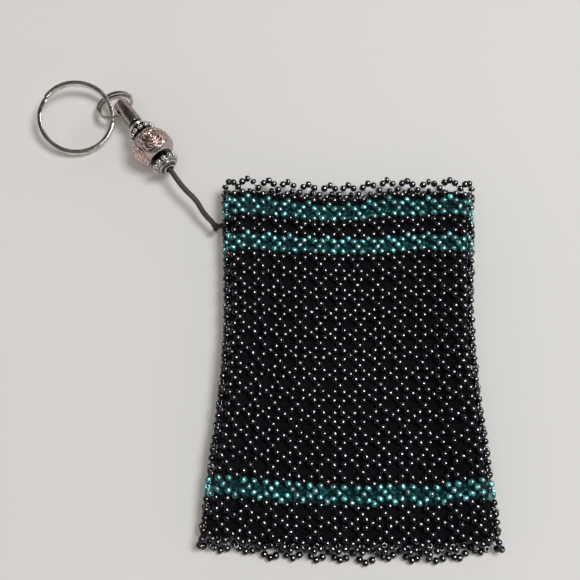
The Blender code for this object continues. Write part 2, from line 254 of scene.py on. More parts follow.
def mesh_from_bmesh(name, bm):
    bmesh.ops.recalc_face_normals(bm, faces=bm.faces)
    mesh = bpy.data.meshes.new(name)
    bm.to_mesh(mesh)
    bm.free()
    mesh.shade_smooth()
    return mesh


def ring_quads(rings, sides, close_rings=False):
    """Point numbers of the quads of a row of rings, which may itself close into a ring."""
    i = np.arange(rings if close_rings else rings - 1)[:, None]
    j = np.arange(sides)[None, :]
    after = (i + 1) % rings
    beside = (j + 1) % sides
    quads = np.stack([i * sides + j, i * sides + beside, after * sides + beside,
                      after * sides + j], axis=-1)
    return quads.reshape(-1, 4)


def copied_quads(quads, size, count):
    """The quads of a part of that many points, for that many copies of it."""
    return (quads[None] + (np.arange(count) * size)[:, None, None]).reshape(-1, 4)


def turned(profile, segments):
    """A closed profile of (radius, height) points spun round Z, as points and quads."""
    profile = np.array(profile, float)
    angles = 2 * math.pi * np.arange(segments) / segments
    points = np.stack([
        np.outer(np.cos(angles), profile[:, 0]),
        np.outer(np.sin(angles), profile[:, 0]),
        np.outer(np.ones(segments), profile[:, 1]),
    ], axis=-1).reshape(-1, 3)
    return points, ring_quads(segments, len(profile), close_rings=True)


def arc(x, y, wide, high, start, end, count):
    """Points along part of an oval about (x, y), between two angles in degrees."""
    angles = np.radians(np.linspace(start, end, count))
    return [(x + wide * math.cos(a), y + high * math.sin(a)) for a in angles]


def moved(points, matrix):
    matrix = np.array(matrix)
    return points @ matrix[:3, :3].T + matrix[:3, 3]


def smooth_route(points, steps):
    """A Catmull-Rom curve through the points."""
    ends = [points[0] * 2 - points[1], *points, points[-1] * 2 - points[-2]]
    route = [points[0]]
    for i in range(1, len(points)):
        a, b, c, d = ends[i - 1], ends[i], ends[i + 1], ends[i + 2]
        for k in range(1, steps + 1):
            t = k / steps
            route.append(0.5 * (2 * b + (c - a) * t + (2 * a - 5 * b + 4 * c - d) * t * t
                                + (3 * b - a - 3 * c + d) * t ** 3))
    return route


# ---- materials ----
def set_ramp(node, stops):
    """Each stop is (position, colour); the first two are the ramp's own."""
    elements = node.color_ramp.elements
    for i, (position, colour) in enumerate(stops):
        element = elements[i] if i < 2 else elements.new(position)
        element.position = position
        element.color = (*colour, 1.0)


def set_inputs(node, values):
    for socket, value in values.items():
        node.inputs[socket.replace("_", " ")].default_value = value


class Look:
    """A material's nodes, with short names for the ones that are used most."""

    def __init__(self, name, **sockets):
        self.material = bpy.data.materials.new(name)
        self.material.use_nodes = True
        self.tree = self.material.node_tree
        self.shader = self.tree.nodes["Principled BSDF"]
        set_inputs(self.shader, sockets)

    def add(self, kind, **values):
        node = self.tree.nodes.new("ShaderNode" + kind)
        set_inputs(node, values)
        return node

    def link(self, output, target):
        self.tree.links.new(output, target)

    def own_place(self, stretch=(1, 1, 1)):
        place = self.add("TexCoord").outputs["Object"]
        mapping = self.add("Mapping", Scale=stretch)
        self.link(place, mapping.inputs["Vector"])
        return mapping.outputs["Vector"]

    def noise(self, scale, detail=3.0, stretch=(1, 1, 1)):
        node = self.add("TexNoise", Scale=scale, Detail=detail)
        self.link(self.own_place(stretch), node.inputs["Vector"])
        return node.outputs["Fac"]

    def cells(self, scale, output="Distance"):
        node = self.add("TexVoronoi", Scale=scale)
        self.link(self.own_place(), node.inputs["Vector"])
        return node.outputs[output]

    def stored(self, name):
        node = self.add("Attribute")
        node.attribute_name = name
        return node.outputs["Fac"]

    def ramp(self, factor, *stops):
        """Colours along a factor."""
        node = self.add("ValToRGB")
        set_ramp(node, stops)
        self.link(factor, node.inputs["Fac"])
        return node.outputs["Color"]

    def mixed(self, factor, first, second, blend="MIX"):
        """Two colours mixed; the factor and each colour are an output or a constant."""
        node = self.add("Mix")
        node.data_type = "RGBA"
        node.blend_type = blend
        if isinstance(factor, float):
            node.inputs["Factor"].default_value = factor
        else:
            self.link(factor, node.inputs["Factor"])
        for socket, value in (("A", first), ("B", second)):
            target = next(i for i in node.inputs if i.name == socket and i.type == "RGBA")
            if isinstance(value, tuple):
                target.default_value = (*value, 1.0)
            else:
                self.link(value, target)
        return next(o for o in node.outputs if o.type == "RGBA")

    def spread(self, value, low, high):
        """A value from 0 to 1 spread over low to high."""
        node = self.add("MapRange", To_Min=low, To_Max=high)
        self.link(value, node.inputs["Value"])
        return node.outputs["Result"]

    def sum(self, first, second):
        node = self.add("Math")
        node.operation = "ADD"
        self.link(first, node.inputs[0])
        self.link(second, node.inputs[1])
        return node.outputs["Value"]

    def colour(self, output):
        self.link(output, self.shader.inputs["Base Color"])

    def roughness(self, output):
        self.link(output, self.shader.inputs["Roughness"])

    def bump(self, height, distance, strength=1.0):
        node = self.add("Bump", Strength=strength, Distance=distance)
        self.link(height, node.inputs["Height"])
        self.link(node.outputs["Normal"], self.shader.inputs["Normal"])


def black_glass():
    """Glossy black seed beads, some a little navy, purple or brown."""
    look = Look("black_bead_glass", IOR=1.42)
    tone = look.stored("tone")
    look.colour(look.ramp(tone, (0.0, (0.002, 0.002, 0.004)), (1.0, (0.006, 0.003, 0.002)),
                          (0.35, (0.002, 0.002, 0.009)), (0.6, (0.006, 0.002, 0.008)),
                          (0.8, (0.002, 0.002, 0.002))))
    look.roughness(look.spread(look.noise(900, 2.0), 0.08, 0.18))
    return look.material


def teal_glass():
    """Teal seed beads with a silver lining, whose glints through the glass are painted as bright
    cells in the metal colour, and made by bumps as well.
    """
    look = Look("teal_bead_glass", Metallic=0.35, IOR=1.5, Coat_Weight=0.35, Coat_Roughness=0.08)
    lining = look.cells(1400, "Color")
    # Painted glints: bright and dark cells of the metal colour stand in for the silver lining
    # glinting through the glass.
    glint = look.ramp(lining, (0.25, (0.001, 0.030, 0.033)), (0.75, (0.08, 0.44, 0.45)),
                      (0.5, (0.003, 0.125, 0.13)))
    shade = look.ramp(look.stored("tone"), (0.0, (0.30, 0.42, 0.42)), (1.0, (1.0, 1.0, 1.0)))
    look.colour(look.mixed(1.0, glint, shade, "MULTIPLY"))
    look.roughness(look.spread(look.noise(1600, 1.0), 0.26, 0.56))
    look.bump(look.cells(1500), 0.00012, 0.6)
    return look.material


def thread_look():
    look = Look("black_thread", Roughness=0.6)
    fibre = look.noise(4000, 2.0)
    look.colour(look.ramp(fibre, (0.3, (0.004, 0.004, 0.005)), (0.8, (0.014, 0.014, 0.016))))
    look.bump(fibre, 0.00003)
    return look.material


def oxidised_silver(name, bright, dark, low=0.2, high=0.5):
    """Silver that is polished where it stands proud, and dark in its hollows."""
    look = Look(name, Metallic=1.0)
    worn = look.sum(look.stored("relief"), look.spread(look.noise(700), -0.18, 0.18))
    look.colour(look.ramp(worn, (0.15, dark), (0.75, bright)))
    look.roughness(look.spread(worn, high, low))
    look.bump(look.noise(1800), 0.00004, 0.5)
    return look.material


def ring_steel(name, dark, bright):
    """Plated spring wire with fine scratches."""
    look = Look(name, Metallic=1.0)
    wear = look.noise(500, 4.0)
    look.colour(look.ramp(wear, (0.35, dark), (0.65, bright)))
    look.roughness(look.spread(look.noise(1500, 4.0, (1, 1, 4)), 0.08, 0.30))
    look.bump(look.noise(2500, 3.0), 0.00003, 0.5)
    return look.material


def tube_silver():
    look = Look("tube_silver", Metallic=1.0)
    wear = look.noise(900, 5.0)
    look.colour(look.ramp(wear, (0.3, (0.22, 0.19, 0.165)), (0.7, (0.42, 0.375, 0.335))))
    look.roughness(look.spread(wear, 0.16, 0.38))
    look.bump(look.noise(2600, 3.0), 0.00004, 0.6)
    return look.material


def rose_metal():
    """Two-tone plated ball: copper-pink petals, an olive leaf and silver ground, with painted
    highlight on its ridges and painted shade in its hollows and round its bores.
    """
    look = Look("rose_metal", Metallic=1.0)
    # relief paints highlight on ridges and ribs, and shade in hollows and outlines.
    relief = look.stored("relief")
    petal = look.ramp(relief, (0.1, (0.16, 0.075, 0.062)), (0.9, (0.92, 0.80, 0.76)),
                      (0.5, (0.60, 0.37, 0.32)))
    leaf = look.ramp(relief, (0.1, (0.08, 0.075, 0.045)), (0.9, (0.56, 0.54, 0.44)))
    ground = look.ramp(relief, (0.1, (0.06, 0.048, 0.043)), (0.7, (0.52, 0.46, 0.435)),
                       (1.0, (0.92, 0.86, 0.83)))
    first = look.mixed(look.stored("petal"), ground, petal)
    second = look.mixed(look.stored("leaf"), first, leaf)
    # Painted shade: the recess round each bore is painted near black.
    look.colour(look.mixed(look.stored("shaded_recess"), second, (0.03, 0.026, 0.024)))
    look.roughness(look.spread(look.noise(1200, 3.0), 0.14, 0.30))
    look.bump(look.noise(2200, 3.0), 0.00004, 0.5)
    return look.material


def leather():
    """Waxed flat lace, painted paler along its middle as a sheen, with random wear."""
    look = Look("lace_leather", Roughness=0.6)
    # Painted sheen along the lace's middle, with noise for wear.
    sheen_and_wear = look.sum(look.stored("middle"), look.spread(look.noise(1800, 4.0), -0.3, 0.3))
    look.colour(look.ramp(sheen_and_wear, (0.1, (0.010, 0.008, 0.006)), (0.9, (0.062, 0.050, 0.040))))
    look.roughness(look.spread(sheen_and_wear, 0.7, 0.42))
    look.bump(look.noise(3500, 3.0), 0.00008, 0.7)
    return look.material


BLACK = black_glass()
TEAL = teal_glass()
THREAD = thread_look()
STEEL = ring_steel("ring_steel", (0.50, 0.46, 0.43), (0.80, 0.76, 0.72))
SMALL_RING_STEEL = ring_steel("small_ring_steel", (0.24, 0.215, 0.20), (0.56, 0.52, 0.485))
SPACER_SILVER = oxidised_silver("oxidised_silver", (0.62, 0.58, 0.55), (0.012, 0.010, 0.009))
TUBE_SILVER = tube_silver()
ROSE = rose_metal()
LEATHER = leather()


# ---- camera, light and floor ----
def add_camera():
    data = bpy.data.cameras.new("camera")
    data.lens = CAMERA_LENS
    data.sensor_width = 36
    data.clip_start = 0.01
    camera = bpy.data.objects.new("camera", data)
    bpy.context.scene.collection.objects.link(camera)
    turn = Matrix.Rotation(CAMERA_YAW, 3, "Z") @ Matrix.Rotation(CAMERA_TILT, 3, "X")
    camera.rotation_euler = turn.to_euler()
    camera.location = CAMERA_TARGET + turn @ Vector((0, 0, CAMERA_DISTANCE))
    bpy.context.scene.camera = camera


def add_lamp(name, direction, distance, size, power, colour, only_on=None, matte=False):
    """A round soft light. With only_on it adds gloss to that collection and nothing else, and
    a matte one adds no gloss at all."""
    data = bpy.data.lights.new(name, "AREA")
    data.shape = "DISK"
    data.size = size
    data.energy = power
    data.color = colour
    lamp = bpy.data.objects.new(name, data)
    bpy.context.scene.collection.objects.link(lamp)
    lamp.matrix_world = frame_at(Vector(direction).normalized() * distance, direction)
    lamp.visible_glossy = not matte
    if only_on is not None:
        lamp.visible_diffuse = False
        lamp.light_linking.receiver_collection = only_on


def add_world():
    """A pale room: bright walls all round and a dimmer ceiling."""
    world = bpy.data.worlds.new("room")
    world.use_nodes = True
    bpy.context.scene.world = world
    tree = world.node_tree
    background = tree.nodes["Background"]
    direction = tree.nodes.new("ShaderNodeTexCoord").outputs["Generated"]
    height = tree.nodes.new("ShaderNodeSeparateXYZ")
    tree.links.new(direction, height.inputs[0])
    ramp = tree.nodes.new("ShaderNodeValToRGB")
    # At eye level, straight up, and between them the walls and the start of the ceiling.
    set_ramp(ramp, ((0.0, (0.70, 0.6895, 0.6755)), (0.85, (0.04, 0.0394, 0.0386)),
                    (0.30, (1.05, 0.96, 0.91)), (0.52, (0.12, 0.112, 0.108))))
    tree.links.new(height.outputs["Z"], ramp.inputs["Fac"])
    tree.links.new(ramp.outputs["Color"], background.inputs["Color"])


def add_floor():
    bm = bmesh.new()
    bmesh.ops.create_grid(bm, x_segments=8, y_segments=8, size=1.5)
    look = Look("pale_floor", Roughness=0.75)
    look.colour(look.ramp(look.noise(3.0, 2.0), (0.3, (0.800, 0.795, 0.770)),
                          (0.7, (0.820, 0.812, 0.785))))
    floor = add_object("floor", mesh_from_bmesh("floor", bm), look.material)
    floor.location.z = -0.00005


add_camera()
bpy.context.scene.view_settings.view_transform = "Standard"
add_world()
KEY_DIRECTION = (0.40, 0.127, 0.904)
BLACK_BEADS = bpy.data.collections.new("black_beads")
TEAL_BEADS = bpy.data.collections.new("teal_beads")
add_lamp("key", KEY_DIRECTION, 1.2, 0.50, 8.0, (0.985, 0.995, 1.0))
add_lamp("fill", (-0.25, -0.15, 1.0), 1.5, 1.8, 5.0, (1.0, 0.955, 0.925), matte=True)
add_lamp("sparkle", KEY_DIRECTION, 1.2, 0.72, 165.0, (0.95, 0.96, 1.0), only_on=BLACK_BEADS)
add_lamp("teal_sparkle", KEY_DIRECTION, 1.2, 0.68, 95.0, (1.0, 1.0, 1.0), only_on=TEAL_BEADS)
add_floor()


# ---- lace ----
def lace_along(name, route, width, thickness, sides, wide_way):
    """A flat lace along the route, with rounded corners; wide_way is near its wide direction."""
    route = np.array([tuple(p) for p in route])
    along = unit(np.gradient(route, axis=0))
    wide = np.broadcast_to(np.asarray(wide_way, float), route.shape)
    wide = unit(wide - (wide * along).sum(1)[:, None] * along)
    thick = np.cross(along, wide)
    angles = 2 * math.pi * np.arange(sides) / sides
    across = np.sign(np.cos(angles)) * np.abs(np.cos(angles)) ** 0.7
    up = np.sign(np.sin(angles)) * np.abs(np.sin(angles)) ** 0.7
    points = (route[:, None] + wide[:, None] * (across * width / 2)[:, None]
              + thick[:, None] * (up * thickness / 2)[:, None])
    # A mask for the painted sheen: most at the middle of the lace's width.
    middle = np.broadcast_to(1 - np.abs(across) ** 2, (len(route), sides))
    return add_tube(name, LEATHER, points.reshape(-1, 3), ring_quads(len(route), sides), sides,
                    middle.ravel())


def add_tube(name, material, points, quads, sides, values=None):
    """A swept tube's object, with flat caps."""
    mesh = mesh_from_arrays(name, points, quads)
    if values is not None:
        store_values(mesh, "middle", values)
    bm = bmesh.new()
    bm.from_mesh(mesh)
    bm.verts.ensure_lookup_table()
    bm.faces.new(bm.verts[:sides][::-1])
    bm.faces.new(bm.verts[-sides:])
    bm.to_mesh(mesh)
    bm.free()
    mesh.shade_smooth()
    mesh.set_sharp_from_angle(angle=math.radians(60))
    return add_object(name, mesh, material)


def lace_route():
    """From the knot through the charm's beads to where the lace ends inside the tube."""
    exit_at = LOWER_SPACER_AT + SPACER_THICKNESS / 2
    count = 8
    strung = [on_axis(exit_at + (-LACE_TOP_FROM_BALL - exit_at) * i / count)
              for i in range(count + 1)]
    return [Vector(p) for p in LACE_FREE_POINTS] + [on_axis(exit_at + LACE_STRAIGHT_RUN)] + strung


def make_lace():
    route = smooth_route([KNOT_CENTRE] + lace_route(), 6)
    count = len(route)
    # The lace twists a little between the knot and the charm.
    twist = np.radians(np.interp(np.arange(count) / count, (0, 0.2, 0.45, 1), (50, 5, -25, 0)))
    flat = np.stack([np.cos(twist) * ACROSS.x, np.cos(twist) * ACROSS.y, np.sin(twist)], axis=1)
    lace = lace_along("waxed_lace", route, LACE_WIDTH, LACE_THICKNESS, LACE_SIDES, flat)
    assign(lace, "lace", "charm")


def make_knot():
    """An overhand knot in the lace."""
    turns = 96
    route = []
    place = frame_at(KNOT_CENTRE, (0.25, 0.1, 1.0), (-1, 1.2, 0))
    for i in range(turns + 1):
        t = 2 * math.pi * i / turns
        wind = Vector((
            (math.sin(t) + 2 * math.sin(2 * t)) * KNOT_SIZE,
            (math.cos(t) - 2 * math.cos(2 * t)) * KNOT_SIZE,
            -math.sin(3 * t) * KNOT_HEIGHT,
        ))
        route.append(place @ wind)
    knot = lace_along("lace_overhand_knot", route, *KNOT_LACE, KNOT_SIDES, (0.3, 0.2, 1.0))
    assign(knot, "lace_knot", "knot")


def make_tie_loop():
    """The lace's turn round the netting at the pouch's side, which the knot is drawn up against."""
    steps = 40
    towards_net = Vector((1.0, 0.30, 0.0)).normalized()
    place = frame_at(KNOT_CENTRE + towards_net * TIE_LOOP_FROM_KNOT, (-0.35, 0.45, 1.0), towards_net)
    # Its two ends are inside the knot.
    route = []
    for i in range(steps + 1):
        t = math.radians(190 + 340 * i / steps)
        route.append(place @ Vector((TIE_LOOP_REACH * math.cos(t),
                                     TIE_LOOP_HALF_WIDTH * math.sin(t), 0.0)))
    loop = lace_along("lace_tie_loop", route, *TIE_LOOP_LACE, KNOT_SIDES, (0.2, 0.3, 1.0))
    assign(loop, body="pouch")


make_lace()
make_knot()
make_tie_loop()


# ---- netting ----
def pouch_edge():
    """Heights and half widths of the pouch's side, from the right fold's outermost points."""
    widest = {}
    for part in ("lower", "middle", "upper"):
        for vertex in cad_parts["right_fold_" + part].data.vertices:
            y = round(vertex.co.y, 5)
            widest[y] = max(widest.get(y, 0.0), vertex.co.x)
    heights = sorted(widest)
    return np.array(heights), np.array([widest[y] for y in heights])


EDGE_Y, EDGE_X = pouch_edge()


def wave_field(count, strength):
    """A smooth random swell over the netting, as a function of (around, y)."""
    angles = random.uniform(0, 2 * math.pi, count)
    lengths = random.uniform(0.012, 0.045, count)
    phases = random.uniform(0, 2 * math.pi, count)
    sizes = strength * random.uniform(0.5, 1.0, count) / math.sqrt(count)

    def field(around, y):
        total = np.zeros_like(y)
        for angle, length, phase, size in zip(angles, lengths, phases, sizes):
            run = around * math.cos(angle) + y * math.sin(angle)
            total += size * np.sin(2 * math.pi * run / length + phase)
        return total

    return field


SWELL_ACROSS = wave_field(7, 0.00045)
SWELL_ALONG = wave_field(7, 0.00015)
SWELL_UP = wave_field(7, 0.00040)


def wander(x, y):
    """The rows' gentle rise and fall."""
    levels = [np.interp(x, WANDER_X, row) for row in WANDER]
    total = levels[0]
    for low, high, near, far in zip(WANDER_Y, WANDER_Y[1:], levels, levels[1:]):
        total = total + (far - near) * np.clip((y - low) / (high - low), 0, 1)
    return total


def front_sag(inward, lift):
    """How far the front sinks towards the back, at a distance inward from a fold."""
    taper = SEAM_LAYER_GAP / LAYER_GAP * (1 - lift) + lift
    return FRONT_SAG * smoothstep(inward / SAG_RUN) * (0.25 + 0.75 * lift) * taper


def front_follow(turn, inward, y):
    """How far a place follows the front when the mouth opens: most at the front's middle."""
    edge = smoothstep((FOLD_MOVES - turn) / FOLD_MOVES) * EDGE_RISE
    rise = edge + smoothstep(inward / RISE_RUN) * (1 - EDGE_RISE)
    return rise * smoothstep((y - SEAM_Y) / SEAM_STIFF)


class NetPoints:
    """Places on the flattened tube, given as columns round it and heights along Y."""

    def __init__(self, column, y):
        lift = smoothstep((y - SEAM_Y) / SEAM_TAPER)
        radius = (SEAM_LAYER_GAP + (LAYER_GAP - SEAM_LAYER_GAP) * lift) / 2
        flat = np.interp(y, EDGE_Y, EDGE_X) - BEAD_RADIUS - radius
        whole = 4 * flat + 2 * math.pi * radius
        run = column * whole / COLUMNS + COLUMN_SHIFT
        run = (run + whole / 2) % whole - whole / 2
        side = np.where(run < 0, -1.0, 1.0)
        reach = np.abs(run)
        turn = np.clip((reach - flat) / radius, 0, math.pi)
        beyond = np.clip(reach - flat - math.pi * radius, 0, None)
        x = side * (np.minimum(reach, flat) + radius * np.sin(turn) - beyond)
        z = BEAD_RADIUS + radius + radius * np.cos(turn) - front_sag(flat - reach, lift)
        none = np.zeros_like(x)
        self.turn = turn
        self.side = side
        inward = np.clip(flat - reach, 0, None)
        self.point = np.stack([x, y, z], axis=-1)
        self.out = np.stack([side * np.sin(turn), none, np.cos(turn)], axis=-1)
        self.round = np.stack([np.cos(turn), none, -side * np.sin(turn)], axis=-1)
        swell_up = SWELL_UP(x, y) * (0.35 + 0.65 * np.clip(np.cos(turn), 0, 1))
        self.point += self.round * SWELL_ACROSS(run, y)[..., None]
        behind = (1 - np.cos(turn)) / 2
        drop = np.interp(y, (EDGE_Y[0], EDGE_Y[-1]), (BACK_DROP_BOTTOM, BACK_DROP_TOP))
        self.point[..., 1] += SWELL_ALONG(run, y) + wander(x, y) - drop * behind
        middle = smoothstep(beyond / BACK_SHIFT_RUN) * smoothstep((flat - np.abs(x)) / BACK_SHIFT_RUN)
        self.point[..., 0] += BACK_SHIFT * middle
        self.point += self.out * (np.abs(swell_up) * 0.5)[..., None]
        self.follow = front_follow(turn, inward, y)


def row_height(row):
    tips = HEM_RISE * np.clip(row - LAST_ROW + 1, 0, 1) - PICOT_DROP * np.clip(1.0 - row, 0, 1)
    return np.interp(row, ROW_KNOTS, ROW_KNOTS_Y) + tips


ALONG = np.array((0.0, 1.0, 0.0))


def raggedness(row):
    """How untidily the beads lie: most at the loops of the hem, a little at the picots."""
    return 1.0 + 1.8 * smoothstep((row - 34.5) / 2.5) + 0.2 * smoothstep((1.5 - row) / 1.5)


def scatter(spots, across, along, loose=1.0):
    """Small random shifts of beads from their regular places."""
    shift = random.normal(0, 1, (3, *spots.turn.shape)) * loose
    return (spots.round * np.clip(shift[0] * across, -0.0012, 0.0012)[..., None]
            + ALONG * np.clip(shift[1] * along, -0.0011, 0.0011)[..., None]
            + spots.out * np.clip(shift[2] * 0.00010, -0.0002, 0.0003)[..., None])


def place_shared_beads():
    """Rows of beads that two loops share, lying along the row. Odd rows are half a column on."""
    row = np.repeat(np.arange(LAST_ROW + 1), COLUMNS).reshape(LAST_ROW + 1, COLUMNS)
    column = np.tile(np.arange(COLUMNS), (LAST_ROW + 1, 1)) + 0.5 * (row % 2)
    spots = NetPoints(column.astype(float), row_height(row))
    loose = raggedness(row)
    offset = scatter(spots, 0.00012, 0.00010, loose)
    tilt = random.normal(0, 0.12, row.shape) * loose
    lean = random.normal(0, 0.10, row.shape)
    hole = unit(spots.round + ALONG * tilt[..., None] + spots.out * lean[..., None])
    return {"row": row.astype(float), "spots": spots, "offset": offset,
            "point": spots.point + offset, "hole": hole, "column": column}


def place_arm_beads(shared):
    """One bead on each thread that runs from a shared bead down to one in the next row."""
    row, way = (grid.reshape(-1, 1) * np.ones(COLUMNS, int)
                for grid in np.meshgrid(np.arange(LAST_ROW), (-1, 1), indexing="ij"))
    upper = np.arange(COLUMNS) + 0 * row
    lower = (upper + (way + 1) // 2 - 1 + row % 2) % COLUMNS
    # Shares of the way from the even row, down and across. At the picots and at the hem's loops
    # the beads are drawn up against the tips.
    near = np.select([row == 0, row == LAST_ROW - 1], [0.33, 0.67], 0.42)
    wide = np.select([row == 0, row == LAST_ROW - 1], [0.52, 0.50], 0.55)
    even = row % 2 == 0
    down = np.where(even, near, 1 - near)
    across = np.where(even, wide, 1 - wide)
    column = shared["column"][row, upper] + way * 0.5 * across
    y = row_height(row) * (1 - down) + row_height(row + 1) * down
    spots = NetPoints(column, y)
    mix = down[..., None]
    offset = shared["offset"][row, upper] * (1 - mix) + shared["offset"][row + 1, lower] * mix
    offset = offset + scatter(spots, 0.00006, 0.00006)
    end = BEAD_LENGTH / 2
    top = shared["point"][row, upper] + shared["hole"][row, upper] * (way * end)[..., None]
    low = shared["point"][row + 1, lower] - shared["hole"][row + 1, lower] * (way * end)[..., None]
    hole = unit(unit(low - top) + random.normal(0, 0.10, top.shape))
    return {"row": row + 0.5, "spots": spots, "point": spots.point + offset, "hole": hole,
            "top": top, "low": low, "upper": upper, "lower": lower}


def bead_template(segments=16):
    """A round-shouldered ring round Z: its hole's wall, then its barrel."""
    half = BEAD_LENGTH / 2
    profile = [(BEAD_HOLE, -half * 0.62), (BEAD_HOLE * 1.25, -half * 0.90)]
    for degrees in (-68, -44, -22, 0, 22, 44, 68):
        a = math.radians(degrees)
        out = math.copysign(abs(math.cos(a)) ** 0.72, math.cos(a))
        up = math.copysign(abs(math.sin(a)) ** 0.80, math.sin(a))
        profile.append((BEAD_HOLE + (BEAD_RADIUS - BEAD_HOLE) * out, half * up))
    profile += [(BEAD_HOLE * 1.25, half * 0.90), (BEAD_HOLE, half * 0.62)]
    return turned(profile, segments)


def bead_mesh(name, point, hole, out):
    """Copies of the bead at those places, with small differences of size and colour."""
    shape, quads = bead_template()
    count = len(point)
    across = unit(np.cross(hole, out))
    up = np.cross(across, hole)
    girth = 1 + np.clip(random.normal(0, 0.035, count), -0.08, 0.07)
    length = 1 + random.normal(0, 0.07, count)
    taper = random.normal(0, 0.05, count)
    grow = girth[:, None] * (1 + taper[:, None] * shape[:, 2] / BEAD_LENGTH)
    points = (point[:, None] + across[:, None] * (grow * shape[:, 0])[..., None]
              + up[:, None] * (grow * shape[:, 1])[..., None]
              + hole[:, None] * (length[:, None] * shape[:, 2])[..., None])
    # No bead dips below the table.
    points[..., 2] += np.clip(-points[..., 2].min(axis=1), 0, None)[:, None]
    mesh = mesh_from_arrays(name, points.reshape(-1, 3), copied_quads(quads, len(shape), count))
    store_values(mesh, "tone", np.repeat(random.uniform(0, 1, count), len(shape)))
    return mesh, len(shape)


def fasten(obj, layer):
    """The back stays with the pouch; the rest has its place baked into its mesh."""
    if layer == "back":
        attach(obj, "pouch")
        return
    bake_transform(obj)


BANDS = (
    # name, first and last row, whether it is teal, CAD band, CAD fold that it stands for
    ("picot_edge", -1.0, 1.75, False, "picot_edge", "upper"),
    ("teal_band_1", 1.75, 3.75, True, "teal_band_1", None),
    ("black_band", 3.75, 5.75, False, "black_band", None),
    ("teal_band_2", 5.75, 7.75, True, "teal_band_2", None),
    ("black_field_upper", 7.75, 18.75, False, "black_field", "middle"),
    ("black_field_lower", 18.75, 30.25, False, "black_field", None),
    ("teal_band_3", 30.25, 32.25, True, "teal_band_3", None),
    ("scalloped_hem", 32.25, 99.0, False, "scalloped_hem", "lower"),
)


def layer_of(spots):
    """Which of the tube's four sides each place is on."""
    name = np.full(spots.turn.shape, "front", dtype="<U10")
    name[spots.turn > math.pi - 1e-6] = "back"
    bend = (spots.turn > 1e-6) & (spots.turn < math.pi - 1e-6)
    name[bend & (spots.side < 0)] = "left_fold"
    name[bend & (spots.side > 0)] = "right_fold"
    return name


def make_netting():
    shared = place_shared_beads()
    arms = place_arm_beads(shared)
    both = [shared, arms]
    row = np.concatenate([p["row"].ravel() for p in both])
    point = np.concatenate([p["point"].reshape(-1, 3) for p in both])
    hole = np.concatenate([p["hole"].reshape(-1, 3) for p in both])
    out = np.concatenate([p["spots"].out.reshape(-1, 3) for p in both])
    layer = np.concatenate([layer_of(p["spots"]).ravel() for p in both])
    for side in ("front", "back", "left_fold", "right_fold"):
        for name, first, last, teal, cad_band, cad_fold in BANDS:
            chosen = (layer == side) & (row > first) & (row <= last)
            label = f"{side}_{name}_beads"
            mesh, size = bead_mesh(label, point[chosen], hole[chosen], out[chosen])
            beads = add_object(label, mesh, TEAL if teal else BLACK)
            (TEAL_BEADS if teal else BLACK_BEADS).objects.link(beads)
            fasten(beads, side)
            stands_for = cad_band if side in ("front", "back") else cad_fold
            assign(beads,
                   stands_for and f"{side}_{stands_for}")
    make_threads(shared, arms)


def make_threads(shared, arms):
    """The thread from each shared bead, through an arm bead, to a shared bead in the next row."""
    sides = THREAD_SIDES
    row = (arms["row"] - 0.5).astype(int)
    start = shared["point"][row, arms["upper"]]
    finish = shared["point"][row + 1, arms["lower"]]
    layer = layer_of(arms["spots"])
    half = BEAD_LENGTH / 2
    entry = arms["point"] - arms["hole"] * half
    leave = arms["point"] + arms["hole"] * half
    lines = np.stack([start, arms["top"], entry, leave, arms["low"], finish], axis=-2)
    angles = 2 * math.pi * np.arange(sides) / sides
    for side in ("front", "back", "left_fold", "right_fold"):
        chosen = layer == side
        route = lines[chosen]
        along = unit(np.gradient(route, axis=1))
        across = unit(np.cross(along, arms["spots"].out[chosen][:, None]))
        up = np.cross(across, along)
        ring = (across[:, :, None] * np.cos(angles)[:, None]
                + up[:, :, None] * np.sin(angles)[:, None]) * THREAD_RADIUS
        points = route[:, :, None] + ring
        count, stops = route.shape[:2]
        quads = copied_quads(ring_quads(stops, sides), stops * sides, count)
        name = f"{side}_netting_thread"
        thread = add_object(name, mesh_from_arrays(name, points.reshape(-1, 3), quads), THREAD)
        fasten(thread, side)
        assign(thread)


def make_seam():
    """Upright beads along the bottom that join the front layer to the back."""
    count = SEAM_BEADS
    half = float(np.interp(SEAM_Y, EDGE_Y, EDGE_X)) - SEAM_INSET
    x = np.linspace(-half, half, count) + random.normal(0, 0.0002, count)
    y = SEAM_Y + random.normal(0, 0.0003, count)
    point = np.stack([x, y, np.full(count, BEAD_RADIUS + SEAM_LAYER_GAP / 2)], axis=1)
    hole = unit(np.array((0, 0, 1.0)) + random.normal(0, 0.1, (count, 3)))
    mesh, _ = bead_mesh("bottom_seam_beads", point, hole, np.tile(ALONG, (count, 1)))
    beads = add_object("bottom_seam_beads", mesh, BLACK)
    BLACK_BEADS.objects.link(beads)
    assign(beads, "bottom_seam", "pouch")


def shade_cloth_look():
    """Thin black lining cloth in plain weave, with painted green glints and painted teal light where
    teal glass lies over it.
    """
    look = Look("shade_lining_cloth", Roughness=0.92, Specular_IOR_Level=0.2)
    warp = look.noise(900, 2.0, (1, 0.08, 1))
    weft = look.noise(900, 2.0, (0.08, 1, 1))
    weave = look.sum(warp, weft)
    # The cloth's black is painted shade: a dark sheet where the inside of the pouch lies in shadow.
    black = look.ramp(weave, (0.7, (0.0008, 0.0008, 0.0014)), (1.3, (0.003, 0.003, 0.005)))
    # Painted teal light and glints: green cells where a teal band lies over the cloth.
    painted_teal_glints = look.ramp(look.cells(1000), (0.12, (0.036, 0.210, 0.205)), (0.62, (0.002, 0.017, 0.020)),
                      (0.34, (0.008, 0.060, 0.062)))
    look.colour(look.mixed(look.stored("painted_teal_light"), black, painted_teal_glints))
    look.bump(weave, 0.00004, 0.5)
    return look.material


